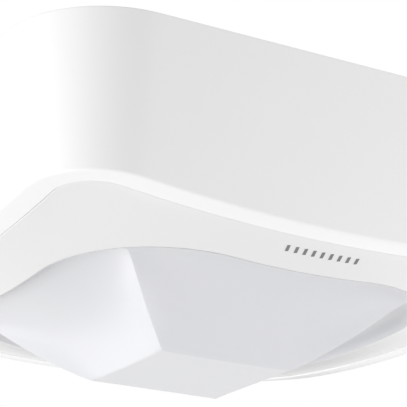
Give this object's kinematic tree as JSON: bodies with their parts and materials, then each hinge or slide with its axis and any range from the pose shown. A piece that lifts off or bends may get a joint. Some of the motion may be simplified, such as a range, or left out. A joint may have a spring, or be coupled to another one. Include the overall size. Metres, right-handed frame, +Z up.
{
  "type": "motion sensor",
  "caption": "Square white ceiling motion sensor: drafted housing, domed cover ring and a faceted lens of hollow scoops.",
  "frame": {"origin": "centre of the flat back plate, in the plane of the ceiling", "axes": "+Z up into the ceiling, away from the room; the four sides face +X, +Y, -X and -Y; the cable entry is towards +Y"},
  "size_m": [0.12, 0.12, 0.0448],
  "materials": {
    "white_plastic": "fine satin moulding",
    "cover_plastic": "fine satin moulding",
    "lens_polyethylene": "milky, thin, lightly translucent",
    "inner_plastic": "plain matt moulding",
    "circuit_board": "green solder resist over glass fibre",
    "black_plastic": "glass-filled black",
    "grommet_rubber": "soft grey rubber",
    "terminal_plastic": "green terminal moulding",
    "relay_case": "blue glossy can",
    "amber_plastic": "amber tape and potting",
    "capacitor_sleeve": "dark shrink sleeve",
    "varistor_coat": "blue dipped coat",
    "switch_red": "red switch body",
    "slider_plastic": "white slider",
    "dial_plastic": "ivory knob",
    "led_resin": "red tinted resin",
    "clear_resin": "clear resin",
    "screw_steel": "zinc plated",
    "sensor_can": "plated can"
  },
  "bodies": {
    "base": {"back_plate": "white_plastic", "cable_grommet": "grommet_rubber", "housing": "white_plastic", "power_board": "circuit_board", "power_board_screw_1": "screw_steel", "power_board_screw_2": "screw_steel", "power_board_screw_3": "screw_steel", "power_board_screw_4": "screw_steel", "terminal_block": "terminal_plastic", "terminal_screw_1": "screw_steel", "terminal_screw_2": "screw_steel", "terminal_screw_3": "screw_steel", "terminal_screw_4": "screw_steel", "terminal_screw_5": "screw_steel", "transformer": "amber_plastic", "relay": "relay_case", "smoothing_capacitor": "capacitor_sleeve", "film_capacitor": "amber_plastic", "fuse": "black_plastic", "varistor": "varistor_coat", "board_plug": "black_plastic", "insulating_cover": "inner_plastic", "sensor_board": "circuit_board", "sensor_board_screw_1": "screw_steel", "sensor_board_screw_2": "screw_steel", "sensor_board_screw_3": "screw_steel", "sensor_board_screw_4": "screw_steel", "board_socket": "black_plastic", "controller_chip": "black_plastic", "pyro_sensor_right": "sensor_can", "pyro_sensor_back": "sensor_can", "pyro_sensor_left": "sensor_can", "pyro_sensor_front": "sensor_can", "light_sensor": "clear_resin", "status_led": "led_resin", "chassis": "inner_plastic", "module_screw_1": "screw_steel", "module_screw_2": "screw_steel", "module_screw_3": "screw_steel", "module_screw_4": "screw_steel", "lens": "lens_polyethylene", "lens_retainer": "inner_plastic", "retainer_screw_1": "screw_steel", "retainer_screw_2": "screw_steel", "retainer_screw_3": "screw_steel", "retainer_screw_4": "screw_steel", "time_control": "black_plastic", "light_control": "black_plastic", "program_switch": "black_plastic", "dip_switch": "switch_red"},
    "cover": {"cover_plate": "cover_plastic"},
    "time_dial_body": {"time_dial": "dial_plastic"},
    "light_dial_body": {"light_dial": "dial_plastic"},
    "program_button_body": {"program_button": "dial_plastic"},
    "dip_lever_1": {"dip_slider_1": "slider_plastic"},
    "dip_lever_2": {"dip_slider_2": "slider_plastic"},
    "dip_lever_3": {"dip_slider_3": "slider_plastic"},
    "dip_lever_4": {"dip_slider_4": "slider_plastic"}
  },
  "joints": [
    {"name": "cover_pull", "type": "slide", "parent": "base", "child": "cover", "axis": [0, 0, -1], "range_m": [0, 0.04]},
    {"name": "time_turn", "type": "hinge", "parent": "base", "child": "time_dial_body", "pos_m": [-0.03832, -0.03832, -0.0276], "axis": [0, 0, -1], "range_deg": [-135, 135]},
    {"name": "light_turn", "type": "hinge", "parent": "base", "child": "light_dial_body", "pos_m": [0.03832, -0.03832, -0.0276], "axis": [0, 0, -1], "range_deg": [-135, 135]},
    {"name": "program_press", "type": "slide", "parent": "base", "child": "program_button_body", "axis": [0, 0, 1], "range_m": [0, 0.0008], "stiffness_N_per_m": 800, "springref_m": -0.0005},
    {"name": "dip_slide_1", "type": "slide", "parent": "base", "child": "dip_lever_1", "axis": [-0.7071, 0.7071, 0], "range_m": [0, 0.0016]},
    {"name": "dip_slide_2", "type": "slide", "parent": "base", "child": "dip_lever_2", "axis": [-0.7071, 0.7071, 0], "range_m": [0, 0.0016]},
    {"name": "dip_slide_3", "type": "slide", "parent": "base", "child": "dip_lever_3", "axis": [-0.7071, 0.7071, 0], "range_m": [0, 0.0016]},
    {"name": "dip_slide_4", "type": "slide", "parent": "base", "child": "dip_lever_4", "axis": [-0.7071, 0.7071, 0], "range_m": [0, 0.0016]}
  ]
}
